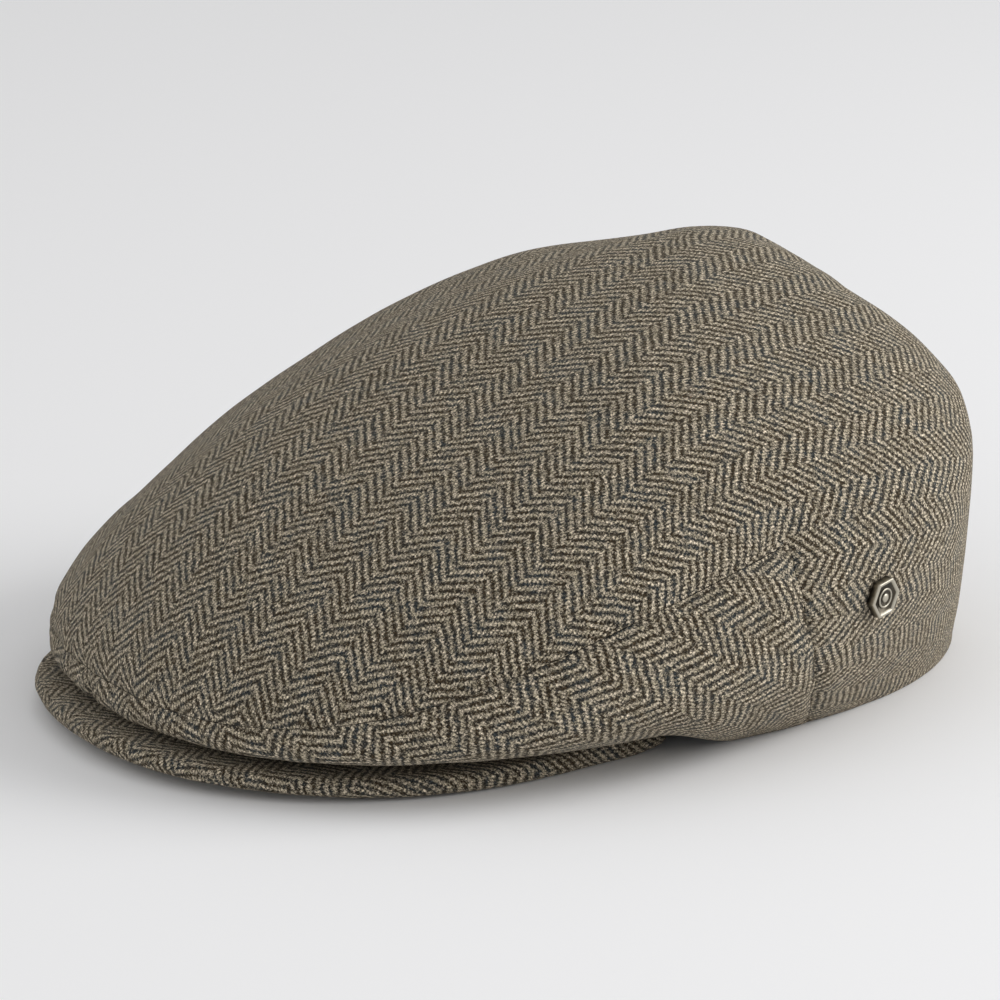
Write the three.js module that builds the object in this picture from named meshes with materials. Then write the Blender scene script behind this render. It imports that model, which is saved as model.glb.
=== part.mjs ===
import * as THREE from "three";

// A herringbone tweed flat cap, in millimetres. The peak points to -Y, the wearer's left is +X and
// +Z is up. The cap stands on the back of its hem and on the two ends of its peak.

// Head opening, over the outside of the hem
const hemLength = 204;
const hemWidth = 163;

// Crown: size of its widest line, and its crest above the floor
const crownLength = 236;
const crownWidth = 226;
const crownHeight = 111;
const crownForward = 21;
const crestBack = 34;

// Cloth, and the turned hem where it lies double
const clothWall = 2;
const hemWall = 4;
const hemTurnUp = 9;
const seamGap = 0.3;
const seatGap = 0.3;

// Peak: a stiff crescent covered in the same cloth, with its outer edge higher in the middle
const peakReach = 43;
const peakThickness = 5;
const peakArch = 3.5;
const peakRootLift = 1.5;
const peakTuck = 3;
const peakEnd = THREE.MathUtils.degToRad(81);
const peakRelease = THREE.MathUtils.degToRad(91);

// Upright seam at the back of each side panel, as a turn from the front
const uprightSeam = THREE.MathUtils.degToRad(103.5);

// Six-sided metal stud on the left side
const studRadius = 5.4;
const studHeight = 2.2;
const studBevel = 0.7;
const studSides = 6;
const studTurn = THREE.MathUtils.degToRad(117);
const studLevel = 0.885;

// Mesh density
const columns = 80;
const bandRows = 7;
const topRows = 16;
const peakSteps = 44;
const noseSteps = 6;

// Crown by turn from the front, in degrees: spread of its widest line beyond an oval, height of
// that line as a share of the crown's, and the curves of the slope above it and the tuck below it.
const crownRows = [
  { turn: 0, spread: 1.0, rim: 0.15, round: 1.5, shoulder: 0.63, tuck: 4.6 },
  { turn: 30, spread: 1.03, rim: 0.15, round: 1.5, shoulder: 0.69, tuck: 4.4 },
  { turn: 60, spread: 1.03, rim: 0.19, round: 1.56, shoulder: 0.67, tuck: 3.6 },
  { turn: 90, spread: 1.0, rim: 0.28, round: 1.64, shoulder: 0.57, tuck: 2.6 },
  { turn: 120, spread: 1.01, rim: 0.4, round: 1.6, shoulder: 0.53, tuck: 1.9 },
  { turn: 150, spread: 1.04, rim: 0.53, round: 1.65, shoulder: 0.58, tuck: 1.5 },
  { turn: 180, spread: 1.0, rim: 0.55, round: 1.7, shoulder: 0.62, tuck: 1.4 },
];

// Long seam between the top panel and the side panels. Level 0 is the hem, 1 the widest line and
// 2 the crest.
const seamRows = [
  { turn: 0, level: 1.04 },
  { turn: 30, level: 1.05 },
  { turn: 60, level: 1.13 },
  { turn: 90, level: 1.2 },
  { turn: 120, level: 1.22 },
  { turn: 150, level: 1.22 },
  { turn: 180, level: 1.22 },
];

// Peak from its middle to its end, as a share of the way: its reach and the lift of its outer
// edge, as shares of the peak's reach and arch.
const peakRows = [
  { along: 0, reach: 1.0, lift: 1.0 },
  { along: 0.25, reach: 1.01, lift: 0.85 },
  { along: 0.5, reach: 0.83, lift: 0.4 },
  { along: 0.75, reach: 0.4, lift: 0.1 },
  { along: 1, reach: 0.04, lift: 0 },
];

const rows = bandRows + topRows;
const fullTurn = 2 * Math.PI;

// A table column as one smooth curve from the first row, at 0, to the last row, at pi.
function curveOf(table, key) {
  const last = table.length - 1;
  const weight = (i) => (i === 0 || i === last ? 0.5 : 1);
  const terms = table.map((_row, k) => {
    const wave = (total, row, i) => total + weight(i) * row[key] * Math.cos((Math.PI * k * i) / last);
    return (2 / last) * weight(k) * table.reduce(wave, 0);
  });
  return (angle) => terms.reduce((total, term, k) => total + term * Math.cos(k * angle), 0);
}

const spreadAt = curveOf(crownRows, "spread");
const rimAt = curveOf(crownRows, "rim");
const roundAt = curveOf(crownRows, "round");
const shoulderAt = curveOf(crownRows, "shoulder");
const tuckAt = curveOf(crownRows, "tuck");
const seamAt = curveOf(seamRows, "level");
const reachAt = curveOf(peakRows, "reach");
const liftAt = curveOf(peakRows, "lift");

const { lerp, smoothstep } = THREE.MathUtils;

// Height of the peak's underside at its root, where it is sewn to the hem.
function peakRoot(turn) {
  const along = Math.min(Math.abs(turn) / peakEnd, 1);
  return peakRootLift * (1 - along ** 2);
}

// The hem lies on the peak's root at the front and comes down to the floor behind the peak.
function hemHeight(turn) {
  const onPeak = 1 - smoothstep(Math.abs(turn), peakEnd, peakRelease);
  return onPeak * (peakRoot(turn) + peakThickness + seatGap);
}

// A point of the hem's outer line, moved outwards along the floor by a distance.
function hemPoint(turn, outwards = 0) {
  const point = new THREE.Vector3((hemWidth / 2) * Math.sin(turn), (-hemLength / 2) * Math.cos(turn), 0);
  const away = new THREE.Vector3(point.x / hemWidth ** 2, point.y / hemLength ** 2, 0).normalize();
  return point.addScaledVector(away, outwards);
}

// A point of the crown's outer skin, by turn from the front and level above the hem.
function crownPoint(turn, level) {
  const spread = spreadAt(turn);
  const rim = new THREE.Vector3(
    (crownWidth / 2) * spread * Math.sin(turn),
    -crownForward - (crownLength / 2) * spread * Math.cos(turn),
    crownHeight * rimAt(turn),
  );
  if (level <= 1) {
    const hem = hemPoint(turn).setZ(hemHeight(turn));
    const out = 1 - (1 - level) ** tuckAt(turn);
    const height = lerp(hem.z, rim.z, level);
    return hem.lerp(rim, out).setZ(height);
  }
  const out = Math.cos(((level - 1) * Math.PI) / 2);
  const rise = (1 - Math.min(out ** roundAt(turn), 1)) ** shoulderAt(turn);
  const height = lerp(rim.z, crownHeight, rise);
  return new THREE.Vector3(0, crestBack, 0).lerp(rim, out).setZ(height);
}

// The crown's outward direction, from two short steps across its skin.
function crownNormal(turn, level) {
  const step = 0.002;
  const low = THREE.MathUtils.clamp(level, step, 2 - 20 * step);
  const along = crownPoint(turn + step, low).sub(crownPoint(turn - step, low));
  const up = crownPoint(turn, low + step).sub(crownPoint(turn, low - step));
  const flat = level >= 2 ? 0 : 1;
  return along.cross(up).normalize().multiplyScalar(flat).add(new THREE.Vector3(0, 0, 1 - flat));
}

// Turn and level of a node of the grid that all the crown's panels share.
function nodePlace(column, row) {
  const turn = (column / columns) * fullTurn;
  const nearest = turn > Math.PI ? turn - fullTurn : turn;
  const seam = seamAt(nearest);
  const above = (row - bandRows) / topRows;
  const level = row <= bandRows ? (seam * row) / bandRows : lerp(seam, 2, above);
  return { turn: nearest, level };
}

// A node's point on the outer skin, or on the inner skin one wall further in.
function nodePoint(column, row, inner) {
  const { turn, level } = nodePlace(column, row);
  const point = crownPoint(turn, level);
  if (!inner) return point;
  if (row === 0) return hemPoint(turn, -hemWall).setZ(point.z);
  const turnedUp = 1 - smoothstep(point.z - hemHeight(turn), 0, hemTurnUp);
  const wall = lerp(clothWall, hemWall, turnedUp);
  return point.addScaledVector(crownNormal(turn, level), -wall);
}

// One cloth panel: the grid cells that it owns, as two skins joined along its edges. Its edge
// nodes draw back from a neighbouring panel by half of the seam's gap.
function clothPanel(owns) {
  const wrap = (column) => (column + columns) % columns;
  const inGrid = (row) => row >= 0 && row < rows;
  const owned = (column, row) => inGrid(row) && owns(wrap(column), row);
  const positions = [];
  const indexOf = new Map();

  const drawBack = (column, row, inner, point) => {
    let across = 0;
    let up = 0;
    for (const side of [-1, 1]) {
      for (const rise of [-1, 1]) {
        const cell = [column + (side - 1) / 2, row + (rise - 1) / 2];
        if (!inGrid(cell[1]) || owned(...cell)) continue;
        across -= side;
        up -= row === 0 ? 0 : rise;
      }
    }
    const shift = new THREE.Vector3();
    const towards = (nextColumn, nextRow) => {
      const next = nodePoint(wrap(nextColumn), nextRow, inner);
      shift.addScaledVector(next.sub(point).normalize(), seamGap / 2);
    };
    if (across !== 0) towards(column + Math.sign(across), row);
    if (up !== 0) towards(column, row + Math.sign(up));
    return point.clone().add(shift);
  };

  const node = (column, row, inner) => {
    const at = row === rows ? 0 : wrap(column);
    const key = `${at},${row},${inner}`;
    if (!indexOf.has(key)) {
      const point = nodePoint(at, row, inner);
      const placed = row === rows ? point : drawBack(at, row, inner, point);
      indexOf.set(key, positions.length / 3);
      positions.push(...placed.toArray());
    }
    return indexOf.get(key);
  };

  const faces = [];
  const quad = (a, b, c, d) => {
    if (a !== b && b !== c && c !== a) faces.push(a, b, c);
    if (a !== c && c !== d && d !== a) faces.push(a, c, d);
  };
  for (let column = 0; column < columns; column++) {
    for (let row = 0; row < rows; row++) {
      if (!owned(column, row)) continue;
      const outer = [0, 1].map((i) => [0, 1].map((j) => node(column + i, row + j, false)));
      const inner = [0, 1].map((i) => [0, 1].map((j) => node(column + i, row + j, true)));
      quad(outer[0][0], outer[1][0], outer[1][1], outer[0][1]);
      quad(inner[0][0], inner[0][1], inner[1][1], inner[1][0]);
      if (!owned(column, row - 1)) quad(outer[0][0], inner[0][0], inner[1][0], outer[1][0]);
      if (!owned(column, row + 1) && row + 1 < rows) {
        quad(outer[0][1], outer[1][1], inner[1][1], inner[0][1]);
      }
      if (!owned(column - 1, row)) quad(outer[0][0], outer[0][1], inner[0][1], inner[0][0]);
      if (!owned(column + 1, row)) quad(outer[1][0], inner[1][0], inner[1][1], outer[1][1]);
    }
  }
  return new THREE.BufferGeometry()
    .setAttribute("position", new THREE.Float32BufferAttribute(positions, 3))
    .setIndex(faces);
}

// The peak: sections across the crescent, from its right end to its left end, each with a flat
// root under the hem and a rounded outer edge.
function peakGeometry() {
  const radius = peakThickness / 2;
  const sectionAt = (turn) => {
    const along = Math.abs(turn) / peakEnd;
    const reach = peakReach * reachAt(along * Math.PI);
    const root = peakRoot(turn);
    const edge = peakArch * liftAt(along * Math.PI) + radius;
    const nose = Array.from({ length: noseSteps + 1 }, (_, i) => {
      const swing = (i / noseSteps - 0.5) * Math.PI;
      const out = reach - radius + radius * Math.cos(swing);
      return hemPoint(turn, out).setZ(edge + radius * Math.sin(swing));
    });
    const under = hemPoint(turn, -peakTuck).setZ(root);
    const over = hemPoint(turn, -peakTuck).setZ(root + peakThickness);
    return [under, ...nose, over];
  };
  const sections = Array.from({ length: peakSteps + 1 }, (_, i) =>
    sectionAt(lerp(-peakEnd, peakEnd, i / peakSteps)),
  );
  const size = sections[0].length;
  const faces = [];
  for (let i = 0; i < peakSteps; i++) {
    for (let j = 0; j < size; j++) {
      const next = (j + 1) % size;
      const [a, b] = [i * size + j, i * size + next];
      faces.push(a, a + size, b + size, a, b + size, b);
    }
  }
  const lastStart = peakSteps * size;
  for (let j = 1; j < size - 1; j++) {
    faces.push(0, j, j + 1);
    faces.push(lastStart, lastStart + j + 1, lastStart + j);
  }
  const positions = sections.flat().flatMap((point) => point.toArray());
  return new THREE.BufferGeometry()
    .setAttribute("position", new THREE.Float32BufferAttribute(positions, 3))
    .setIndex(faces);
}

// The stud's body: a flat six-sided button with bevelled edges, standing on z = 0.
function studGeometry() {
  const outline = new THREE.Shape(
    Array.from({ length: studSides }, (_, i) => {
      const angle = (i / studSides) * fullTurn;
      const radius = studRadius - studBevel;
      return new THREE.Vector2(radius * Math.cos(angle), radius * Math.sin(angle));
    }),
  );
  const geometry = new THREE.ExtrudeGeometry(outline, {
    depth: studHeight - 2 * studBevel,
    bevelThickness: studBevel,
    bevelSize: studBevel,
    bevelSegments: 2,
  });
  return geometry.translate(0, 0, studBevel);
}

const tweed = new THREE.MeshStandardMaterial({ color: 0x6b6252, roughness: 0.95, metalness: 0 });
const pewter = new THREE.MeshStandardMaterial({ color: 0x8f8a7e, roughness: 0.45, metalness: 1 });

function piece(name, geometry, material) {
  const mesh = new THREE.Mesh(geometry, material);
  mesh.name = name;
  return mesh;
}

// Which panel a grid cell belongs to, by its place beside the seams
const seamColumn = Math.round((uprightSeam / fullTurn) * columns);
const besideFace = (column) => column < seamColumn || column >= columns - seamColumn;
const inBand = (column, row) => row < bandRows && besideFace(column);
const onLeft = (column) => column < columns / 2;

const cap = new THREE.Group();
cap.add(piece("crown_top", clothPanel((column, row) => !inBand(column, row)), tweed));
cap.add(piece("side_panel_left", clothPanel((c, r) => inBand(c, r) && onLeft(c)), tweed));
cap.add(piece("side_panel_right", clothPanel((c, r) => inBand(c, r) && !onLeft(c)), tweed));
cap.add(piece("peak", peakGeometry(), tweed));

const stud = piece("stud", studGeometry(), pewter);
const studNormal = crownNormal(studTurn, studLevel);
stud.position.copy(crownPoint(studTurn, studLevel)).addScaledVector(studNormal, seatGap);
stud.quaternion.setFromUnitVectors(new THREE.Vector3(0, 0, 1), studNormal);
cap.add(stud);

// The origin is on the floor below the middle of the cap's length.
const capFront = -hemLength / 2 - peakReach;
const capBack = hemLength / 2;
cap.position.y = -(capFront + capBack) / 2;

export default cap;
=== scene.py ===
"""A herringbone tweed flat cap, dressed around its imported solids, on a pale studio floor."""

from __future__ import annotations

import logging
import math
from collections.abc import Callable, Sequence
from dataclasses import dataclass, field
from enum import Enum
from functools import lru_cache
from typing import Any

import bmesh
import bpy
from mathutils import Matrix, Vector, noise


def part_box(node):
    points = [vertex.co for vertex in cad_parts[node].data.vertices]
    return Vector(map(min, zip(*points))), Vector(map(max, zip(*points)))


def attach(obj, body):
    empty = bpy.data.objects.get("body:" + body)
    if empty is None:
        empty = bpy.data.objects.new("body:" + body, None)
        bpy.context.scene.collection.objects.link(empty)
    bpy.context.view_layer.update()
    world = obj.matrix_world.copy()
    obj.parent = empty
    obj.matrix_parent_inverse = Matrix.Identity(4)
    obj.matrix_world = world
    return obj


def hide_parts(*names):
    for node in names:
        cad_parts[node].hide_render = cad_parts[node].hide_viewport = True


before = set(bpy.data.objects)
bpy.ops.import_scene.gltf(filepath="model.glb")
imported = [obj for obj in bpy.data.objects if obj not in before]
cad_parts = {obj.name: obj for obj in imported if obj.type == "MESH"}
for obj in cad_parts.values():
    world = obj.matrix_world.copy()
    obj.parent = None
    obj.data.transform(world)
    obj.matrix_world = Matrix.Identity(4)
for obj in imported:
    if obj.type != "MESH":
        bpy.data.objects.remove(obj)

LOG = logging.getLogger("flat_cap")
MM = 0.001
BODY = "root"
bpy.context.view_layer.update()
TOUCH = 1e-5  # Two places of a grid, or in metres, count as one within this.
NOISE_LOW, NOISE_HIGH = 0.38, 0.62  # Most of a noise texture lies between these.


def linear(hex_colour: str) -> tuple[float, float, float, float]:
    """Turns an sRGB hex colour to linear values.

    Args:
        hex_colour: Six hex digits, such as "a09078".

    Returns:
        Linear red, green, blue and an alpha of 1.
    """
    parts = [int(hex_colour[i : i + 2], 16) / 255 for i in (0, 2, 4)]
    light = [c / 12.92 if c <= 0.04045 else ((c + 0.055) / 1.055) ** 2.4 for c in parts]
    return (*light, 1.0)


def mix(low: float, high: float, share: float) -> float:
    """Returns the value a share of the way from low to high."""
    return low + (high - low) * share


def smoothstep(value: float, low: float, high: float) -> float:
    """Returns 0 below low, 1 above high and a smooth rise between them."""
    share = min(max((value - low) / (high - low), 0.0), 1.0)
    return share * share * (3 - 2 * share)


def bell(distance: float, width: float) -> float:
    """Returns 1 at no distance, falling smoothly to nothing past the width."""
    return math.exp(-((distance / width) ** 2))


def smooth_curve(places: Sequence[float], values: Sequence[float]) -> Callable[[float], float]:
    """Runs one smooth curve through the values of a table's column.

    Args:
        places: The rows' angles, in even steps from 0 to pi.
        values: The column.

    Returns:
        A function of the angle.
    """
    last = len(values) - 1
    weights = [0.5, *[1.0] * (last - 1), 0.5]
    terms = [
        (2 / last) * weight * sum(
            share * value * math.cos(k * place)
            for share, value, place in zip(weights, values, places, strict=True)
        )
        for k, weight in enumerate(weights)
    ]

    @lru_cache(maxsize=None)
    def curve(angle: float) -> float:
        """Returns the column's value at the angle."""
        return sum(term * math.cos(k * angle) for k, term in enumerate(terms))

    return curve


class Side(Enum):
    """The wearer's side that a panel lies on."""

    LEFT = 1
    RIGHT = -1


@dataclass(frozen=True)
class CrownRow:
    """The crown at one turn from the front: see the same table in the part's source."""

    turn: float
    spread: float
    rim: float
    roundness: float
    shoulder: float
    tuck: float
    seam: float


CROWN_ROWS = (
    CrownRow(0, 1.0, 0.15, 1.5, 0.63, 4.6, 1.04),
    CrownRow(30, 1.03, 0.15, 1.5, 0.69, 4.4, 1.05),
    CrownRow(60, 1.03, 0.19, 1.56, 0.67, 3.6, 1.13),
    CrownRow(90, 1.0, 0.28, 1.64, 0.57, 2.6, 1.2),
    CrownRow(120, 1.01, 0.4, 1.6, 0.53, 1.9, 1.22),
    CrownRow(150, 1.04, 0.53, 1.65, 0.58, 1.5, 1.22),
    CrownRow(180, 1.0, 0.55, 1.7, 0.62, 1.4, 1.22),
)


@dataclass(frozen=True)
class PeakRow:
    """The peak at one share of the way to its end: shares of its full reach and arch."""

    along: float
    reach: float
    lift: float


PEAK_ROWS = (
    PeakRow(0, 1.0, 1.0),
    PeakRow(0.25, 1.01, 0.85),
    PeakRow(0.5, 0.83, 0.4),
    PeakRow(0.75, 0.4, 0.1),
    PeakRow(1, 0.04, 0),
)


@dataclass(frozen=True)
class Dent:
    """A soft hollow, or a swell where its depth is negative, in the crown's cloth, in mm."""

    turn: float
    level: float
    width: float
    depth: float


@dataclass
class CapShape:
    """The cap's outer skin in mm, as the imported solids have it."""

    hem_length: float = 204
    hem_width: float = 163
    crown_length: float = 236
    crown_width: float = 226
    crown_height: float = 111
    crown_forward: float = 21
    crest_back: float = 34
    peak_reach: float = 43
    peak_thickness: float = 5
    peak_arch: float = 3.5
    peak_root_lift: float = 1.5
    peak_tuck: float = 3
    peak_end: float = math.radians(81)
    peak_release: float = math.radians(91)
    upright_seam: float = math.radians(103.5)
    seam_bow: float = math.radians(2.6)
    seat_gap: float = 0.3
    dart_top: float = 99.9
    probe: float = 0.002
    pole_clear: float = 0.04
    curves: dict[str, Callable[[float], float]] = field(default_factory=dict)
    centre_y: float = 0.0

    def __post_init__(self) -> None:
        """Runs the tables' curves and reads the hem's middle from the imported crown."""
        turns = [math.radians(row.turn) for row in CROWN_ROWS]
        for name in ("spread", "rim", "roundness", "shoulder", "tuck", "seam"):
            self.curves[name] = smooth_curve(turns, [getattr(row, name) for row in CROWN_ROWS])
        ways = [row.along * math.pi for row in PEAK_ROWS]
        for name in ("reach", "lift"):
            self.curves[name] = smooth_curve(ways, [getattr(row, name) for row in PEAK_ROWS])
        self.centre_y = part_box("crown_top")[1].y / MM - self.hem_length / 2

    def seam(self, turn: float) -> float:
        """Returns the level of the long seam at a turn."""
        return self.curves["seam"](turn)

    def bowed(self, turn: float, level: float) -> float:
        """Moves a place of the even grid with the upright seam, which bows towards the back.

        Args:
            turn: Angle from the front on the even grid.
            level: Level above the hem, up to the long seam.

        Returns:
            The angle from the front after the bow.
        """
        seam = self.upright_seam
        near = abs(turn) / seam if abs(turn) < seam else (math.pi - abs(turn)) / (math.pi - seam)
        bow = self.seam_bow * near * math.sin(math.pi * level / self.seam(turn))
        return turn + math.copysign(bow, turn)

    def peak_root(self, turn: float) -> float:
        """Returns the height of the peak's underside at its root."""
        along = min(abs(turn) / self.peak_end, 1.0)
        return self.peak_root_lift * (1 - along**2)

    def hem_height(self, turn: float) -> float:
        """Returns the height of the hem, on the peak's root in front and on the floor behind."""
        on_peak = 1 - smoothstep(abs(turn), self.peak_end, self.peak_release)
        return on_peak * (self.peak_root(turn) + self.peak_thickness + self.seat_gap)

    def hem_away(self, turn: float) -> Vector:
        """Returns the level direction away from the hem's line."""
        x = math.sin(turn) / self.hem_width
        y = -math.cos(turn) / self.hem_length
        return Vector((x, y, 0)).normalized()

    def hem_point(self, turn: float, outwards: float = 0.0) -> Vector:
        """Returns a point of the hem's outer line, moved outwards by a distance."""
        x = self.hem_width / 2 * math.sin(turn)
        y = -self.hem_length / 2 * math.cos(turn) + self.centre_y
        return Vector((x, y, 0)) + self.hem_away(turn) * outwards

    def point(self, turn: float, level: float) -> Vector:
        """Finds a point of the crown's smooth outer skin.

        Args:
            turn: Angle from the front, in radians, positive to the wearer's left.
            level: 0 at the hem, 1 on the widest line and 2 at the crest.

        Returns:
            The point in mm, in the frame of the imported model.
        """
        spread = self.curves["spread"](turn)
        rim = Vector((
            self.crown_width / 2 * spread * math.sin(turn),
            self.centre_y - self.crown_forward - self.crown_length / 2 * spread * math.cos(turn),
            self.crown_height * self.curves["rim"](turn),
        ))
        if level <= 1:
            hem = self.hem_point(turn)
            hem.z = self.hem_height(turn)
            out = 1 - (1 - level) ** self.curves["tuck"](turn)
            return Vector((
                mix(hem.x, rim.x, out), mix(hem.y, rim.y, out), mix(hem.z, rim.z, level),
            ))
        out = max(math.cos((level - 1) * math.pi / 2), 0.0)
        rise = (1 - min(out ** self.curves["roundness"](turn), 1)) ** self.curves["shoulder"](turn)
        crest_y = self.crest_back + self.centre_y
        return Vector((rim.x * out, mix(crest_y, rim.y, out), mix(rim.z, self.crown_height, rise)))

    def normal(self, turn: float, level: float) -> Vector:
        """Returns the crown's outward direction, from two short steps across its skin."""
        low = min(max(level, self.probe), 2 - self.pole_clear)
        along = self.point(turn + self.probe, low) - self.point(turn - self.probe, low)
        upwards = self.point(turn, low + self.probe) - self.point(turn, low - self.probe)
        return along.cross(upwards).normalized()


@dataclass(frozen=True)
class Relief:
    """How the sewn cloth leaves the smooth skin, in mm: drawn seams, puckers, slack and dents.

    At the stiff hem a seam keeps the share seam_at_hem of its depth. Above the share dart_fade of
    its height the dart in the middle of the back fades: dart_slope of the height past that counts
    as distance from it.
    """

    seam_depth: float = 1.15
    seam_width: float = 2.4
    pucker_depth: float = 0.9
    pucker_width: float = 6.0
    pucker_length: float = 7.0
    corner_depth: float = 1.7
    corner_width: float = 10.0
    dart_fade: float = 0.8
    dart_slope: float = 0.25
    seam_at_hem: float = 0.25
    hem_stiffness: float = 8.0
    hem_line_up: float = 2.2
    hem_line_depth: float = 0.3
    hem_line_width: float = 0.7
    slack_depth: float = 0.45
    slack_length: float = 38.0
    ripple_depth: float = 0.16
    ripple_length: float = 11.0
    ripple_shift: tuple[float, float, float] = (7, 3, 1)
    dents: tuple[Dent, ...] = (
        Dent(-100, 1.84, 17, 2.6),
        Dent(-174, 1.8, 9, -1.2),
        Dent(165, 1.55, 14, 2.0),
        Dent(156, 1.2, 9, -0.9),
        Dent(-40, 1.38, 20, 1.9),
    )

    def height(self, shape: CapShape, turn: float, level: float, facing: bool) -> float:
        """Finds how far the cloth stands off the smooth skin.

        Args:
            shape: The cap's smooth skin.
            turn: Angle from the front.
            level: Level above the hem.
            facing: True on a panel that has the upright seams at its own edges.

        Returns:
            The distance in mm, outwards.
        """
        here = shape.point(turn, level)
        seam_level = shape.seam(turn)
        side = math.copysign(1.0, turn)
        upright = side * shape.upright_seam
        corner = shape.point(upright, shape.seam(upright))
        past = max(abs(turn) - shape.upright_seam, 0.0) * shape.crown_width / 2
        to_long = (here - shape.point(turn, seam_level)).length + past
        low = min(level, seam_level)
        to_upright = (here - shape.point(shape.bowed(upright, low), low)).length
        to_hem = (here - shape.point(turn, 0.0)).length
        to_front = abs(here.x) if level < seam_level and facing else math.inf
        behind = here.y > shape.centre_y and not facing
        above_dart = max(here.z - shape.dart_top * self.dart_fade, 0.0)
        to_back = math.hypot(here.x, above_dart * self.dart_slope) if behind else math.inf
        nearest = min(to_long, to_upright, to_front, to_back)
        drawn_in = mix(self.seam_at_hem, 1.0, smoothstep(to_hem, 0.0, self.hem_stiffness))
        height = -self.seam_depth * drawn_in * bell(nearest, self.seam_width)
        wave = noise.noise(here / self.pucker_length)
        height += self.pucker_depth * wave * math.exp(-nearest / self.pucker_width)
        height -= self.corner_depth * bell((here - corner).length, self.corner_width)
        height -= self.hem_line_depth * bell(to_hem - self.hem_line_up, self.hem_line_width)
        height += self.slack_depth * noise.noise(here / self.slack_length)
        rippled = here / self.ripple_length + Vector(self.ripple_shift)
        height += self.ripple_depth * noise.noise(rippled)
        for dent in self.dents:
            middle = shape.point(math.radians(dent.turn), dent.level)
            height -= dent.depth * bell((here - middle).length, dent.width)
        return height


def add_node(tree: bpy.types.NodeTree, kind: str, inputs: dict[Any, Any], **settings: Any) -> Any:
    """Adds a shader node with its settings and links.

    Args:
        tree: The material's node tree.
        kind: The node's type name.
        inputs: Socket name or number, to a value or to the socket that feeds it.
        settings: Properties of the node.

    Returns:
        The node's output, or the node itself where it is a shader or a texture.
    """
    node = tree.nodes.new(kind)
    for name, value in settings.items():
        setattr(node, name, value)
    sockets = {socket.name: socket for socket in node.inputs if socket.enabled}
    for key, value in inputs.items():
        socket = node.inputs[key] if isinstance(key, int) else sockets[key]
        if isinstance(value, bpy.types.NodeSocket):
            tree.links.new(value, socket)
        else:
            socket.default_value = value
    if kind.startswith(("ShaderNodeBsdf", "ShaderNodeTex")):
        return node
    return next(socket for socket in node.outputs if socket.enabled)


def new_tree(name: str) -> tuple[bpy.types.Material, bpy.types.NodeTree]:
    """Makes a material with nothing in its tree but the output.

    Args:
        name: The material's name.

    Returns:
        The material and its node tree.
    """
    material = bpy.data.materials.new(name)
    material.use_nodes = True
    tree = material.node_tree
    for node in list(tree.nodes):
        if node.type != "OUTPUT_MATERIAL":
            tree.nodes.remove(node)
    return material, tree


def connect_surface(tree: bpy.types.NodeTree, shader: bpy.types.Node) -> None:
    """Feeds the material's output from a shader."""
    tree.links.new(shader.outputs[0], tree.nodes["Material Output"].inputs["Surface"])


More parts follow.
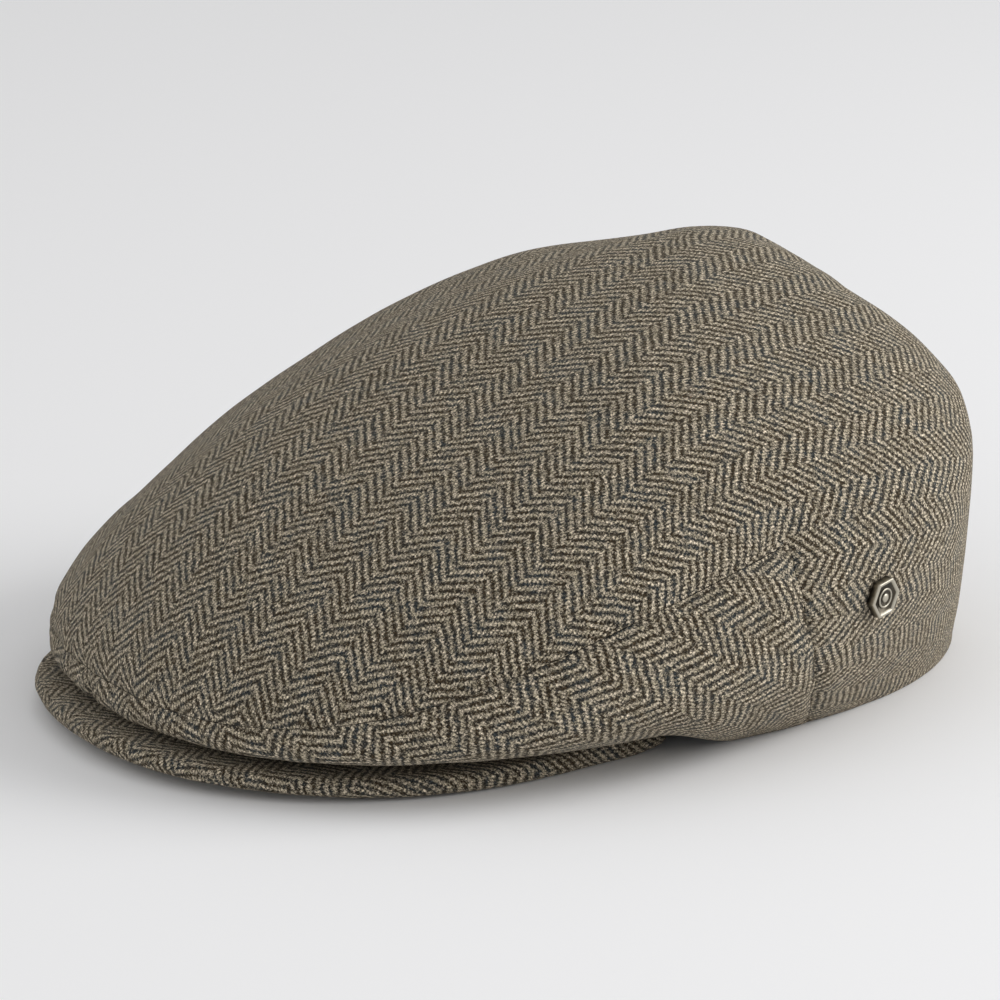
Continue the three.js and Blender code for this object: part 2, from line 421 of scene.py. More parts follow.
@dataclass(frozen=True)
class HerringboneTweed:
    """Brushed wool tweed: tan and dark yarns in slanting strokes that turn back at each column.

    The yarn is melange: the light strokes waver between tan and olive and the dark ones between
    brown and blue, with a few rust flecks. Loose fibres blur the strokes' edges and give the
    cloth a soft sheen. Each yarn is painted lighter along its top and darker where it meets the
    next, a painted highlight and painted shade of its round form. A wool fibre is far finer than
    0.5 mm, and its noise is drawn as coarse as it needs to be to show. Lengths are in mm, and each
    pair holds the low and high end of a range.
    """

    name: str = "herringbone_wool_tweed"
    column: float = 8.0
    period: float = 2.9
    yarn: float = 0.8
    yarns_per_period: int = 4
    fibre: float = 0.5
    mottle: float = 1.6
    cloud: float = 9.0
    sways: tuple[tuple[float, float], ...] = ((22, 0.9), (3.0, 0.5), (0.7, 0.3))
    tuft_reach: float = 1.5
    stroke_edge: tuple[float, float] = (0.8, 1.24)
    cool_patch: tuple[float, float] = (0.45, 0.6)
    fleck_patch: tuple[float, float] = (0.66, 0.72)
    fleck_share: float = 0.6
    fibre_shade: tuple[float, float] = (0.12, 1.65)
    # How much darker between the yarns and lighter on their tops: painted shade and highlight.
    painted_yarn_shading_range: tuple[float, float] = (0.72, 1.28)
    light: str = "c6b9a5"
    light_olive: str = "a0967f"
    dark: str = "33291b"
    dark_blue: str = "2a3033"
    rust: str = "9a6442"
    roughness: float = 0.95
    specular: float = 0.2
    sheen: float = 0.14
    sheen_roughness: float = 0.55
    sheen_tint: str = "d8cdb8"
    relief: float = 0.35
    relief_strength: float = 0.7
    fibre_relief: float = 0.6

    def build(self) -> bpy.types.Material:
        """Returns the material, drawn in metres on the piece's weave map."""
        material, tree = new_tree(self.name)
        weave = add_node(tree, "ShaderNodeUVMap", {}, uv_map="weave")
        place = self.sway(tree, weave)
        stroke, painted_yarn_shading = self.strokes(tree, place)
        fibre = add_node(
            tree, "ShaderNodeTexNoise",
            {"Vector": weave, "Scale": 1 / (self.fibre * MM), "Detail": 2.0, "Roughness": 0.7},
        )
        melange = add_node(
            tree, "ShaderNodeTexNoise",
            {"Vector": weave, "Scale": 1 / (self.mottle * MM), "Detail": 4.0, "Roughness": 0.8},
        )
        cloudy = add_node(
            tree, "ShaderNodeTexNoise",
            {"Vector": weave, "Scale": 1 / (self.cloud * MM), "Detail": 4.0, "Roughness": 0.7},
        )
        shade = add_node(
            tree, "ShaderNodeMapRange",
            {"Value": melange.outputs[0], "From Min": NOISE_LOW, "From Max": NOISE_HIGH},
        )
        tan = add_node(
            tree, "ShaderNodeMix",
            {"Factor": shade, "A": linear(self.light_olive), "B": linear(self.light)},
            data_type="RGBA",
        )
        return self.shade(tree, material, stroke, painted_yarn_shading, fibre, melange, cloudy, tan)

    def sway(self, tree: bpy.types.NodeTree, weave: Any) -> Any:
        """Returns the weave's place, swayed a little as handled cloth is."""
        place = weave
        for length, reach in self.sways:
            wander = add_node(
                tree, "ShaderNodeTexNoise",
                {"Vector": weave, "Scale": 1 / (length * MM), "Detail": 1.0},
            )
            # Noise runs from 0 to 1: its middle is taken off, and what is left is doubled.
            offset = add_node(
                tree, "ShaderNodeVectorMath",
                {0: wander.outputs[1], 1: (0.5, 0.5, 0.5)}, operation="SUBTRACT",
            )
            moved = add_node(
                tree, "ShaderNodeVectorMath",
                {0: offset, "Scale": reach * MM * 2}, operation="SCALE",
            )
            place = add_node(
                tree, "ShaderNodeVectorMath", {0: place, 1: moved}, operation="ADD"
            )
        return place

    def strokes(self, tree: bpy.types.NodeTree, place: Any) -> tuple[Any, Any]:
        """Draws the slanting strokes, half a step out of line from each column to the next.

        Args:
            tree: The material's node tree.
            place: The swayed place on the cloth, in metres.

        Returns:
            A socket that is 0 on a dark stroke and 1 on a light one, and one that is 0 between
            two yarns and 1 on top of a yarn, which paints shade between the yarns and a highlight
            on their tops.
        """
        split = tree.nodes.new("ShaderNodeSeparateXYZ")
        tree.links.new(place, split.inputs[0])
        across, along = split.outputs[0], split.outputs[1]
        width = self.column * MM
        yarn = add_node(
            tree, "ShaderNodeMath", {0: across, 1: self.yarn * MM}, operation="SNAP"
        )
        count = add_node(tree, "ShaderNodeMath", {0: across, 1: width}, operation="DIVIDE")
        column = add_node(tree, "ShaderNodeMath", {0: count}, operation="FLOOR")
        odd = add_node(tree, "ShaderNodeMath", {0: column, 1: 1.0}, operation="PINGPONG")
        slant = add_node(tree, "ShaderNodeMath", {0: yarn, 1: width}, operation="PINGPONG")
        steps = add_node(
            tree, "ShaderNodeMath", {0: slant, 1: self.yarn * MM * self.yarns_per_period},
            operation="DIVIDE",
        )
        turns = add_node(
            tree, "ShaderNodeMath", {0: along, 1: 1 / (self.period * MM), 2: steps},
            operation="MULTIPLY_ADD",
        )
        phase = add_node(
            tree, "ShaderNodeMath", {0: odd, 1: 0.5, 2: turns}, operation="MULTIPLY_ADD"
        )
        wave = add_node(tree, "ShaderNodeMath", {0: phase, 1: 0.5}, operation="PINGPONG")
        tuft = add_node(
            tree, "ShaderNodeTexNoise",
            {"Vector": place, "Scale": 1 / (self.yarn * MM), "Detail": 3.0, "Roughness": 0.75},
        )
        rough_wave = add_node(
            tree, "ShaderNodeMath", {0: tuft.outputs[0], 1: self.tuft_reach, 2: wave},
            operation="MULTIPLY_ADD",
        )
        darkest, lightest = self.stroke_edge
        stroke = add_node(
            tree, "ShaderNodeMapRange",
            {"Value": rough_wave, "From Min": darkest, "From Max": lightest},
            interpolation_type="SMOOTHSTEP",
        )
        # 0 between two yarns and 1 on top of one: the mask of the painted shade between the yarns
        #                                          and the painted highlight on their tops.
        crown = add_node(
            tree, "ShaderNodeMath", {0: across, 1: self.yarn * MM / 2}, operation="PINGPONG"
        )
        painted_yarn_shading = add_node(
            tree, "ShaderNodeMapRange", {"Value": crown, "From Max": self.yarn * MM / 2}
        )
        return stroke, painted_yarn_shading

    def shade(
        self, tree: bpy.types.NodeTree, material: bpy.types.Material, stroke: Any, painted_yarn_shading: Any,
        fibre: Any, melange: Any, cloudy: Any, tan: Any,
    ) -> bpy.types.Material:
        """Colours the strokes, paints shade between the yarns and a highlight on their tops, and
        dresses the shader.

        Args:
            tree: The material's node tree.
            material: The material that is returned.
            stroke: 0 on a dark stroke and 1 on a light one.
            painted_yarn_shading: 0 between two yarns and 1 on top of a yarn, for the painted shade
                between the
            yarns and the painted highlight on their tops.
            fibre: Noise of single fibres.
            melange: Noise of the yarn's mixed colours.
            cloudy: Slow noise over the whole cloth.
            tan: The light yarn's colour.

        Returns:
            The finished material.
        """
        cool = add_node(
            tree, "ShaderNodeMapRange",
            {"Value": cloudy.outputs[0], "From Min": self.cool_patch[0],
             "From Max": self.cool_patch[1]},
        )
        dark = add_node(
            tree, "ShaderNodeMix",
            {"Factor": cool, "A": linear(self.dark), "B": linear(self.dark_blue)}, data_type="RGBA",
        )
        woven = add_node(
            tree, "ShaderNodeMix", {"Factor": stroke, "A": dark, "B": tan}, data_type="RGBA"
        )
        fleck = add_node(
            tree, "ShaderNodeMapRange",
            {"Value": melange.outputs[0], "From Min": self.fleck_patch[0],
             "From Max": self.fleck_patch[1], "To Max": self.fleck_share},
        )
        flecked = add_node(
            tree, "ShaderNodeMix", {"Factor": fleck, "A": woven, "B": linear(self.rust)},
            data_type="RGBA",
        )
        fuzz = add_node(
            tree, "ShaderNodeMapRange",
            {"Value": fibre.outputs[0], "From Min": NOISE_LOW, "From Max": NOISE_HIGH,
             "To Min": self.fibre_shade[0], "To Max": self.fibre_shade[1]},
        )
        # Painted shade between the yarns and a painted highlight on their tops. It is multiplied
        # with the fibres' random tone.
        painted_yarn_shading_gain = add_node(
            tree, "ShaderNodeMapRange",
            {"Value": painted_yarn_shading, "To Min": self.painted_yarn_shading_range[0], "To Max": self.painted_yarn_shading_range[1]},
        )
        fibre_tone_and_painted_yarn_shading = add_node(
            tree, "ShaderNodeMath", {0: fuzz, 1: painted_yarn_shading_gain}, operation="MULTIPLY"
        )
        colour = add_node(
            tree, "ShaderNodeMix", {"Factor": 1.0, "A": flecked, "B": fibre_tone_and_painted_yarn_shading},
            data_type="RGBA", blend_type="MULTIPLY",
        )
        height = add_node(
            tree, "ShaderNodeMath", {0: fibre.outputs[0], 1: self.fibre_relief, 2: stroke},
            operation="MULTIPLY_ADD",
        )
        bump = add_node(
            tree, "ShaderNodeBump",
            {"Strength": self.relief_strength, "Distance": self.relief * MM, "Height": height},
        )
        shader = add_node(
            tree, "ShaderNodeBsdfPrincipled",
            {"Base Color": colour, "Roughness": self.roughness,
             "Specular IOR Level": self.specular, "Sheen Weight": self.sheen,
             "Sheen Roughness": self.sheen_roughness, "Sheen Tint": linear(self.sheen_tint),
             "Normal": bump},
        )
        connect_surface(tree, shader)
        return material


@dataclass(frozen=True)
class SatinLining:
    """Acetate satin lining, dark brown and smooth, with a faint crosswise rib and a soft shine.

    The rib is in mm. The wave texture turns by wave_rate radians in each unit of its scale.
    """

    name: str = "acetate_satin_lining"
    colour: str = "3a332c"
    rib: float = 1.184
    wave_rate: float = 20.0

    def build(self) -> bpy.types.Material:
        """Returns the material."""
        material, tree = new_tree(self.name)
        weave = add_node(tree, "ShaderNodeUVMap", {}, uv_map="weave")
        ribs = tree.nodes.new("ShaderNodeTexWave")
        tree.links.new(weave, ribs.inputs["Vector"])
        ribs.inputs["Scale"].default_value = 2 * math.pi / (self.wave_rate * self.rib * MM)
        ribs.inputs["Distortion"].default_value = 1.5
        bump = add_node(
            tree, "ShaderNodeBump",
            {"Strength": 0.2, "Distance": 0.1 * MM, "Height": ribs.outputs[1]},
        )
        shader = add_node(
            tree, "ShaderNodeBsdfPrincipled",
            {"Base Color": linear(self.colour), "Roughness": 0.42, "Normal": bump},
        )
        connect_surface(tree, shader)
        return material


@dataclass(frozen=True)
class AntiqueSilver:
    """Die-cast zinc plated in antique silver: worn bright on raised edges, dark in hollows."""

    name: str = "antique_silver_plate"
    bright: str = "b9b3a4"
    dark: str = "4d483f"
    roughness: float = 0.38
    grime: float = 1.2

    def build(self) -> bpy.types.Material:
        """Returns the material."""
        material, tree = new_tree(self.name)
        wear = add_node(tree, "ShaderNodeAttribute", {}, attribute_name="wear")
        place = tree.nodes.new("ShaderNodeTexCoord").outputs["Object"]
        grime = add_node(
            tree, "ShaderNodeTexNoise",
            {"Vector": place, "Scale": 1 / (self.grime * MM), "Detail": 3.0},
        )
        blend = add_node(
            tree, "ShaderNodeMath", {0: grime.outputs[0], 1: 0.5, 2: wear},
            operation="MULTIPLY_ADD",
        )
        factor = add_node(
            tree, "ShaderNodeMapRange", {"Value": blend, "From Min": 0.35, "From Max": 0.95}
        )
        colour = add_node(
            tree, "ShaderNodeMix",
            {"Factor": factor, "A": linear(self.dark), "B": linear(self.bright)}, data_type="RGBA",
        )
        bump = add_node(
            tree, "ShaderNodeBump",
            {"Strength": 0.25, "Distance": 0.1 * MM, "Height": grime.outputs[0]},
        )
        shader = add_node(
            tree, "ShaderNodeBsdfPrincipled",
            {"Base Color": colour, "Metallic": 1.0, "Roughness": self.roughness, "Normal": bump},
        )
        connect_surface(tree, shader)
        return material


@dataclass(frozen=True)
class PaleFloor:
    """Matt painted studio board, almost white, plain enough to take a soft shadow."""

    name: str = "matt_white_board"
    colour: str = "f6f6f7"
    grain: float = 2.0

    def build(self) -> bpy.types.Material:
        """Returns the material."""
        material, tree = new_tree(self.name)
        place = tree.nodes.new("ShaderNodeTexCoord").outputs["Object"]
        grain = add_node(
            tree, "ShaderNodeTexNoise",
            {"Vector": place, "Scale": 1 / (self.grain * MM), "Detail": 2.0},
        )
        bump = add_node(
            tree, "ShaderNodeBump",
            {"Strength": 0.02, "Distance": 0.1 * MM, "Height": grain.outputs[0]},
        )
        shader = add_node(
            tree, "ShaderNodeBsdfPrincipled",
            {"Base Color": linear(self.colour), "Roughness": 0.9, "Specular IOR Level": 0.1,
             "Normal": bump},
        )
        connect_surface(tree, shader)
        return material


def make_object(name: str, bm: bmesh.types.BMesh) -> bpy.types.Object:
    """Makes a smooth-shaded object at the origin from a finished bmesh.

    Args:
        name: The object's and its mesh's name.
        bm: The shape in metres. It is freed here.

    Returns:
        The object, linked to the scene.
    """
    mesh = bpy.data.meshes.new(name)
    bm.to_mesh(mesh)
    bm.free()
    mesh.shade_smooth()
    piece = bpy.data.objects.new(name, mesh)
    bpy.context.scene.collection.objects.link(piece)
    return piece


def lay_flat(piece: bpy.types.Object, start: Vector, end: Vector, angle: float) -> None:
    """Lays a panel's cloth flat at its real size, as it was cut, for its weave.

    Args:
        piece: A panel with one open boundary, cut where its edges are marked as a seam.
        start: A point of the panel, in metres, that becomes the map's origin.
        end: A point that lies along the grain from start, before the angle is added.
        angle: Turn of the cloth on the panel, in radians.
    """
    mesh = piece.data
    mesh.uv_layers.new(name="weave")
    bpy.context.view_layer.objects.active = piece
    bpy.ops.object.select_all(action="DESELECT")
    piece.select_set(True)
    bpy.ops.object.mode_set(mode="EDIT")
    bpy.ops.mesh.select_all(action="SELECT")
    bpy.ops.uv.unwrap(method="MINIMUM_STRETCH", margin=0.0, correct_aspect=False)
    bpy.ops.object.mode_set(mode="OBJECT")
    piece.select_set(False)
    layer = mesh.uv_layers["weave"].uv
    flat = [layer[loop.index].vector.copy() for loop in mesh.loops]
    vertex_flat = {loop.vertex_index: flat[loop.index] for loop in mesh.loops}
    nearest = [
        min(mesh.vertices, key=lambda vert, goal=goal: (vert.co - goal).length_squared).index
        for goal in (start, end)
    ]
    origin, tip = (vertex_flat[index] for index in nearest)
    flat_area = 0.0
    for face in mesh.polygons:
        corners = [flat[index] for index in face.loop_indices]
        flat_area += 0.5 * sum(
            a.cross(b) for a, b in zip(corners, corners[1:] + corners[:1], strict=True)
        )
    real_area = sum(face.area for face in mesh.polygons)
    scale = math.sqrt(real_area / abs(flat_area))
    heading = math.atan2(tip.y - origin.y, tip.x - origin.x)
    turn = Matrix.Rotation(math.pi / 2 - heading + angle, 2) * scale
    for loop in mesh.loops:
        layer[loop.index].vector = turn @ (flat[loop.index] - origin)


@dataclass
class CrownCloth:
    """The three tweed panels of the crown, each a lined shell with its seam edges turned in.

    Lengths are in mm. The edges that meet at a seam are each moved away from it by draw_back, in
    radians or in levels, so that no two panels share a face there.
    """

    shape: CapShape
    relief: Relief
    tweed: bpy.types.Material
    lining: bpy.types.Material
    columns: int = 320
    band_rows: int = 20
    top_rows: int = 54
    side_columns: int = 184
    side_rows: int = 34
    wall: float = 2.0
    hem_wall: float = 4.0
    hem_turn_up: float = 9.0
    edge_round: float = 0.35
    edge_angle: float = math.radians(55)
    draw_back: float = 0.0003
    band_ease: float = 0.7
    top_ease: float = 1.3
    crest_level: float = 1.86
    crest_passes: int = 12
    top_grain: float = math.radians(-9)
    side_grain: float = math.radians(37)

    def cloth_point(self, turn: float, level: float, facing: bool) -> Vector:
        """Returns a point of the cloth's outer face, in metres."""
        height = self.relief.height(self.shape, turn, level, facing)
        point = self.shape.point(turn, level)
        if height:
            point += self.shape.normal(turn, level) * height
        point.z = max(point.z, 0.0)
        return point * MM

    def band_level(self, share: float, top: float) -> float:
        """Finds the level of a row between the hem and the long seam.

        Args:
            share: Share of the rows below it. The rows crowd towards both ends.
            top: Level of the last row.

        Returns:
            The row's level.
        """
        return top * (share - self.band_ease * math.sin(2 * math.pi * share) / (2 * math.pi))

    def build_top(self) -> bpy.types.Object:
        """Builds the top panel, which runs over the crest and down the back to the hem."""
        rows = self.band_rows + self.top_rows
        bm = bmesh.new()
        bmesh.ops.create_grid(bm, x_segments=self.columns, y_segments=rows, size=0.5)
        seam_share = self.shape.upright_seam / (2 * math.pi)
        band_share = self.band_rows / rows - 0.5
        middles = {cell: cell.calc_center_median() for cell in bm.faces}
        sides = [
            cell for cell, middle in middles.items()
            if middle.y < band_share and abs(middle.x) < seam_share
        ]
        bmesh.ops.delete(bm, geom=sides, context="FACES")
        crest: list[bmesh.types.BMVert] = []
        pole: list[bmesh.types.BMVert] = []
        for vert in bm.verts:
            row = round((vert.co.y + 0.5) * rows)
            turn = vert.co.x * 2 * math.pi
            beside_face = abs(vert.co.x) < seam_share + TOUCH
            at_upright = beside_face and abs(vert.co.x) > seam_share - TOUCH
            seam = self.shape.seam(turn)
            if row <= self.band_rows:
                level = self.band_level(row / self.band_rows, seam)
                turn = self.shape.bowed(turn, level)
            else:
                way_up = (row - self.band_rows) / self.top_rows
                level = mix(seam, 2.0, way_up**self.top_ease)
            if row < self.band_rows and at_upright:
                turn += math.copysign(self.draw_back, turn)
            if row == self.band_rows and beside_face:
                level += 2 * self.draw_back
            vert.co = self.cloth_point(turn, level, False)
            if row == rows:
                pole.append(vert)
            elif level > self.crest_level:
                crest.append(vert)
        bmesh.ops.pointmerge(bm, verts=pole, merge_co=pole[0].co)
        bmesh.ops.remove_doubles(bm, verts=bm.verts, dist=TOUCH / 10)
        crest = [vert for vert in crest if vert.is_valid]
        for _ in range(self.crest_passes):
            bmesh.ops.smooth_vert(
                bm, verts=crest, factor=0.5, use_axis_x=True, use_axis_y=True, use_axis_z=True
            )
        for edge in bm.edges:
            low, high = sorted((vert.co for vert in edge.verts), key=lambda place: place.z)
            behind = low.y > self.shape.centre_y * MM
            on_centre = max(abs(low.x), abs(high.x)) < TOUCH
            edge.seam = behind and on_centre and high.z < self.shape.dart_top * MM
        piece = make_object("crown_top_cloth", bm)
        # The grain is measured from the middle line, between the long seam and the crest.
        front, crown = (self.shape.point(0.0, level) * MM for level in (1.2, 1.8))
        lay_flat(piece, front, crown, self.top_grain)
        return self.dress(piece, "crown_top")

    def build_side(self, side: Side) -> bpy.types.Object:
        """Builds a side panel, from the middle of the front to its upright seam.

        Args:
            side: The wearer's side.

        Returns:
            The finished panel.
        """
        bm = bmesh.new()
        bmesh.ops.create_grid(
            bm, x_segments=self.side_columns, y_segments=self.side_rows, size=0.5
        )
        first = self.draw_back
        last = self.shape.upright_seam - self.draw_back
        for vert in bm.verts:
            reach = vert.co.x + 0.5 if side is Side.LEFT else 0.5 - vert.co.x
            share = vert.co.y + 0.5
            turn = side.value * mix(first, last, reach)
            top = self.shape.seam(turn) - 2 * self.draw_back
            level = self.band_level(share, top)
            turn = self.shape.bowed(turn, level)
            vert.co = self.cloth_point(turn, level, True)
        node = f"side_panel_{side.name.lower()}"
        piece = make_object(f"{node}_cloth", bm)
        # The grain is measured from a line along the panel's rear half, midway up it.
        start, end = (
            self.shape.point(side.value * math.radians(turn), 0.6) * MM for turn in (60, 98)
        )
        lay_flat(piece, start, end, side.value * self.side_grain)
        return self.dress(piece, node)

    def dress(self, piece: bpy.types.Object, node: str) -> bpy.types.Object:
        """Gives a panel its wall, turned edges and finishes, and puts it in its node's place.

        Args:
            piece: The panel's outer face.
            node: The CAD node that it stands for.

        Returns:
            The panel.
        """
        piece.data.materials.append(self.tweed)
        piece.data.materials.append(self.lining)
        group = piece.vertex_groups.new(name="wall")
        thin = self.wall / self.hem_wall
        for vert in piece.data.vertices:
            point = vert.co / MM
            across = point.x / self.shape.hem_width
            along = (self.shape.centre_y - point.y) / self.shape.hem_length
            turn = math.atan2(across, along)
            above = point.z - self.shape.hem_height(turn)
            share = mix(1.0, thin, smoothstep(above, 0.0, self.hem_turn_up))
            group.add([vert.index], share, "REPLACE")
        wall = piece.modifiers.new("wall", "SOLIDIFY")
        wall.thickness = self.hem_wall * MM
        wall.offset = -1
        wall.vertex_group = "wall"
        wall.material_offset = 1
        wall.material_offset_rim = 0
        edge = piece.modifiers.new("turned_edge", "BEVEL")
        edge.width = self.edge_round * MM
        edge.segments = 2
        edge.limit_method = "ANGLE"
        edge.angle_limit = self.edge_angle
        self.rest_hem(piece)
        return place_piece(piece, node)

    @staticmethod
    def rest_hem(piece: bpy.types.Object) -> None:
        """Applies a panel's modifiers and rests what would sink of its hem on the floor."""
        depsgraph = bpy.context.evaluated_depsgraph_get()
        finished = bpy.data.meshes.new_from_object(piece.evaluated_get(depsgraph))
        piece.modifiers.clear()
        piece.data = finished
        for vert in finished.vertices:
            vert.co.z = max(vert.co.z, 0.0)


def place_piece(piece: bpy.types.Object, node: str) -> bpy.types.Object:
    """Puts a finished piece in the place of its CAD node and reports it.

    Args:
        piece: The finished piece.
        node: The CAD node that it stands for.

    Returns:
        The piece.
    """
    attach(piece, BODY)
    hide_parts(node)
    LOG.info("%s: %d faces in the place of %s", piece.name, len(piece.data.polygons), node)
    return piece


@dataclass
class Peak:
    """The peak: a stiff board in tweed that is drawn round its edge, with a soft padded top."""

    shape: CapShape
    tweed: bpy.types.Material
    steps: int = 200
    turns: int = 44
    wrinkle_depth: float = 0.22
    wrinkle_length: float = 7.0
    wrinkle_start: float = 0.02
    wrinkle_end: float = 0.92
    taper_start: float = 0.9
    taper_end: float = 0.12
    least_length: float = 0.1

    def section_point(self, turn: float, share: float) -> tuple[Vector, float]:
        """Finds a point on the outside of one section across the peak.

        Args:
            turn: The section's turn from the front.
            share: Way round the section: from its root below, over its outer edge to its root
                above, and down to where it began.

        Returns:
            The point in mm, and the cloth's distance from the root above.
        """
        shape = self.shape
        along = min(abs(turn) / shape.peak_end, 1.0)
        radius = shape.peak_thickness / 2
        reach = shape.peak_reach * shape.curves["reach"](along * math.pi)
        edge = shape.peak_arch * shape.curves["lift"](along * math.pi) + radius
        root = shape.peak_root(turn)
        length = max(reach - radius + shape.peak_tuck, self.least_length)
        nose = math.pi * radius
        travel = share * (2 * length + nose + shape.peak_thickness)
        if travel < length:
            part = travel / length
            out = mix(-shape.peak_tuck, reach - radius, part)
            height = mix(root, edge - radius, part)
        elif travel < length + nose:
            swing = (travel - length) / radius - math.pi / 2
            out = reach - radius + radius * math.cos(swing)
            height = edge + radius * math.sin(swing)
        elif travel < 2 * length + nose:
            part = (travel - length - nose) / length
            out = mix(reach - radius, -shape.peak_tuck, part)
            height = mix(edge + radius, root + shape.peak_thickness, part)
        else:
            out = -shape.peak_tuck
            height = root + 2 * length + nose + shape.peak_thickness - travel
        past = max(along - self.taper_start, 0.0) / (1 - self.taper_start)
        full = max(math.sqrt(1 - past**2), self.taper_end)
        point = shape.hem_point(turn, mix(-shape.peak_tuck, out, full))
        point.z = mix(root + radius, height, full)
        return point, 2 * length + nose - travel

    def build(self) -> bpy.types.Object:
        """Returns the finished peak."""
        shape = self.shape
        bm = bmesh.new()
        bmesh.ops.create_grid(bm, x_segments=self.steps, y_segments=self.turns, size=0.5)
        weave = bm.loops.layers.uv.new("weave")
        for cell in bm.faces:
            for loop in cell.loops:
                turn = 2 * loop.vert.co.x * shape.peak_end
                _point, cloth = self.section_point(turn, loop.vert.co.y + 0.5)
                flat = shape.hem_point(turn, cloth - shape.peak_tuck)
                loop[weave].uv = (flat.x * MM, -flat.y * MM)
        for vert in bm.verts:
            turn = 2 * vert.co.x * shape.peak_end
            share = vert.co.y + 0.5
            point, _cloth = self.section_point(turn, share)
            if self.wrinkle_start < share < self.wrinkle_end:
                away = shape.hem_away(turn)
                wrinkle = noise.noise(point / self.wrinkle_length) * self.wrinkle_depth
                point += away * wrinkle
                point.z += wrinkle
            point.z = max(point.z, 0.0)
            vert.co = point * MM
        bmesh.ops.remove_doubles(bm, verts=bm.verts, dist=2 * TOUCH)
        rims = [side for side in bm.edges if side.is_boundary]
        bmesh.ops.holes_fill(bm, edges=rims, sides=0)
        bmesh.ops.recalc_face_normals(bm, faces=bm.faces)
        piece = make_object("peak_cloth", bm)
        piece.data.materials.append(self.tweed)
        return place_piece(piece, "peak")


@dataclass
class Stud:
    """The six-sided metal button, with a raised rim, a sunk field and a plain ring and dome.

    Lengths are in mm. The button sits on the crown at the place that turn and level give.
    """

    shape: CapShape
    metal: bpy.types.Material
    radius: float = 5.4
    height: float = 2.2
    bevel: float = 0.24
    rim: float = 0.9
    rim_slope: float = 0.25
    field_depth: float = 0.55
    worn_below: float = 0.1
    ring_radius: float = 2.35
    ring_wire: float = 0.32
    dome_radius: float = 1.25
    dome_flatness: float = 0.4
    turn: float = math.radians(117)
    level: float = 0.885

    def build(self) -> bpy.types.Object:
        """Returns the finished stud."""
        bm = bmesh.new()
        wear = bm.verts.layers.float.new("wear")
        bmesh.ops.create_circle(bm, cap_ends=True, radius=self.radius, segments=6)
        bmesh.ops.rotate(bm, verts=bm.verts, matrix=Matrix.Rotation(math.pi / 6, 3, "Z"))
        base = bm.faces[:]
        raised = bmesh.ops.extrude_face_region(bm, geom=base)["geom"]
        top_verts = [item for item in raised if isinstance(item, bmesh.types.BMVert)]
        bmesh.ops.translate(bm, verts=top_verts, vec=(0, 0, self.height))
        top = max(bm.faces, key=lambda face: face.calc_center_median().z)
        bmesh.ops.inset_region(bm, faces=[top], thickness=self.rim)
        bmesh.ops.inset_region(bm, faces=[top], thickness=self.rim_slope)
        bmesh.ops.translate(bm, verts=top.verts, vec=(0, 0, -self.field_depth))
        bmesh.ops.recalc_face_normals(bm, faces=bm.faces)
        just_below = self.height - self.bevel / 10
        outer = [
            side for side in bm.edges if max(vert.co.z for vert in side.verts) > just_below
        ]
        bmesh.ops.bevel(
            bm, geom=outer, offset=self.bevel, offset_type="OFFSET", segments=3,
            profile=0.5, affect="EDGES", material=-1, clamp_overlap=True,
        )
        self.add_ring(bm)
        self.add_dome(bm)
        dark_level = self.height - self.field_depth - self.worn_below
        for vert in bm.verts:
            vert[wear] = smoothstep(vert.co.z, dark_level, self.height)
        normal = self.shape.normal(self.turn, self.level)
        centre = self.shape.point(self.turn, self.level) + normal * self.shape.seat_gap
        turned = Vector((0, 0, 1)).rotation_difference(normal).to_matrix().to_4x4()
        placed = Matrix.Translation(centre * MM) @ turned @ Matrix.Scale(MM, 4)
        bmesh.ops.transform(bm, matrix=placed, verts=bm.verts)
        piece = make_object("stud_button", bm)
        piece.data.materials.append(self.metal)
        return place_piece(piece, "stud")

    def add_ring(self, bm: bmesh.types.BMesh) -> None:
        """Lays a round wire ring on the stud's sunk field."""
        level = self.height - self.field_depth
        made = bmesh.ops.create_circle(bm, radius=self.ring_wire, segments=12)["verts"]
        bmesh.ops.rotate(bm, verts=made, matrix=Matrix.Rotation(math.pi / 2, 3, "X"))
        bmesh.ops.translate(bm, verts=made, vec=(self.ring_radius, 0, level))
        # A dict keeps the sides in one order from run to run, as a set wouldn't.
        sides = list(dict.fromkeys(side for vert in made for side in vert.link_edges))
        bmesh.ops.spin(
            bm, geom=made + sides, cent=(0, 0, 0), axis=(0, 0, 1), angle=2 * math.pi,
            steps=48, use_merge=True,
        )

    def add_dome(self, bm: bmesh.types.BMesh) -> None:
        """Sets a low dome in the middle of the ring."""
        level = self.height - self.field_depth
        made = bmesh.ops.create_uvsphere(
            bm, u_segments=32, v_segments=16, radius=self.dome_radius
        )["verts"]
        bmesh.ops.scale(bm, verts=made, vec=(1, 1, self.dome_flatness))
        bmesh.ops.translate(bm, verts=made, vec=(0, 0, level))


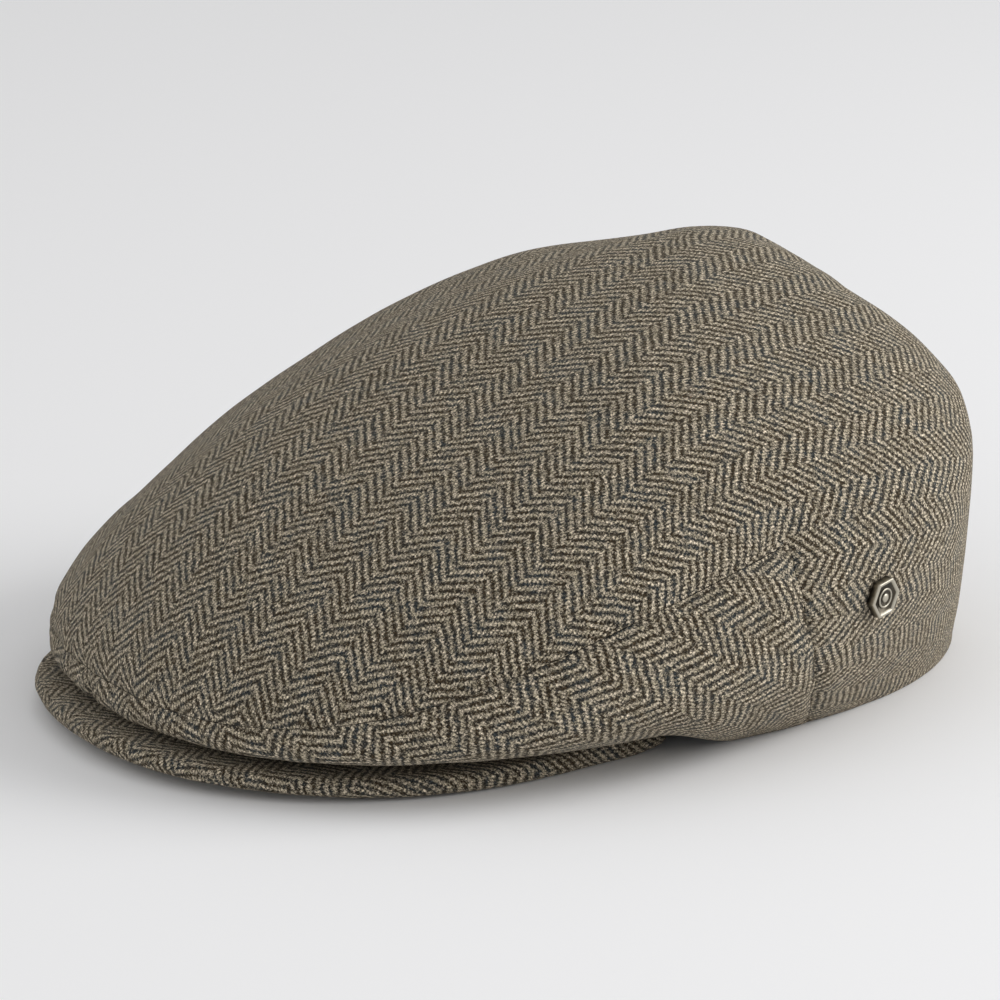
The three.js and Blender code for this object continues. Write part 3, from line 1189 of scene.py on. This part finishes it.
@dataclass(frozen=True)
class PhotoCamera:
    """The camera at the photograph's angle, in degrees and mm, for a square frame.

    The two shifts are shares of the frame's width.
    """

    azimuth: float = 64.47
    elevation: float = 15.64
    roll: float = 1.713
    distance: float = 1460.2
    lens: float = 202.85
    sensor: float = 36.0
    aim_height: float = 50.0
    shift_x: float = -0.00213
    shift_y: float = -0.0136
    nearest: float = 50.0
    farthest: float = 60000.0

    def axes(self) -> tuple[Vector, Vector, Vector]:
        """Returns the picture's right, its up, and the direction back to the camera."""
        turn, tilt, roll = (math.radians(a) for a in (self.azimuth, self.elevation, self.roll))
        level = math.cos(tilt)
        back = Vector((math.sin(turn) * level, -math.cos(turn) * level, math.sin(tilt)))
        right = Vector((math.cos(turn), math.sin(turn), 0))
        above = back.cross(right)
        return (
            right * math.cos(roll) - above * math.sin(roll),
            right * math.sin(roll) + above * math.cos(roll),
            back,
        )

    def build(self) -> bpy.types.Object:
        """Returns the camera, set as the scene's own."""
        data = bpy.data.cameras.new("photo_camera")
        data.sensor_width = self.sensor
        data.lens = self.lens
        data.shift_x = self.shift_x
        data.shift_y = self.shift_y
        data.clip_start = self.nearest * MM
        data.clip_end = self.farthest * MM
        camera = bpy.data.objects.new("photo_camera", data)
        bpy.context.scene.collection.objects.link(camera)
        right, above, back = self.axes()
        turned = Matrix((right, above, back)).transposed().to_4x4()
        aim = Vector((0, 0, self.aim_height)) * MM
        camera.matrix_world = Matrix.Translation(aim + back * self.distance * MM) @ turned
        bpy.context.scene.camera = camera
        return camera


@dataclass(frozen=True)
class SoftLight:
    """A square soft box: its place to the right, above the floor and towards the camera.

    The place and the size are in metres, and the power is in watts.
    """

    name: str
    right: float
    above: float
    back: float
    size: float
    power: float


@dataclass
class Studio:
    """A wide pale floor under soft light, as in a product photograph, in metres."""

    camera: PhotoCamera
    floor: PaleFloor
    floor_reach: float = 30.0
    sky: str = "ffffff"
    sky_strength: float = 0.6
    lights: tuple[SoftLight, ...] = (
        SoftLight("key_from_right", 1.7, 0.8, 0.1, 1.2, 24),
        SoftLight("fill_from_front", -0.7, 0.9, 1.6, 1.4, 4),
    )

    def build(self) -> None:
        """Adds the floor, the sky and the soft boxes."""
        bm = bmesh.new()
        bmesh.ops.create_grid(bm, x_segments=2, y_segments=2, size=self.floor_reach)
        ground = make_object("floor", bm)
        ground.data.materials.append(self.floor.build())
        world = bpy.data.worlds.new("studio_sky")
        world.use_nodes = True
        shade = world.node_tree.nodes["Background"]
        shade.inputs["Color"].default_value = linear(self.sky)
        shade.inputs["Strength"].default_value = self.sky_strength
        bpy.context.scene.world = world
        right, _above, back = self.camera.axes()
        level_back = Vector((back.x, back.y, 0)).normalized()
        for light in self.lights:
            data = bpy.data.lights.new(light.name, "AREA")
            data.size = light.size
            data.energy = light.power
            lamp = bpy.data.objects.new(light.name, data)
            place = right * light.right + level_back * light.back
            place.z = light.above
            lamp.location = place
            lamp.rotation_mode = "QUATERNION"
            lamp.rotation_quaternion = place.to_track_quat("Z", "Y")
            bpy.context.scene.collection.objects.link(lamp)
        bpy.context.scene.view_settings.view_transform = "Standard"


def main() -> None:
    """Builds the cap, the studio and the camera."""
    logging.basicConfig(level=logging.INFO, format="%(name)s: %(message)s")
    shape = CapShape()
    tweed = HerringboneTweed().build()
    cloth = CrownCloth(shape, Relief(), tweed, SatinLining().build())
    cloth.build_top()
    for side in Side:
        cloth.build_side(side)
    Peak(shape, tweed).build()
    Stud(shape, AntiqueSilver().build()).build()
    camera = PhotoCamera()
    camera.build()
    Studio(camera, PaleFloor()).build()


if __name__ == "__main__":
    main()
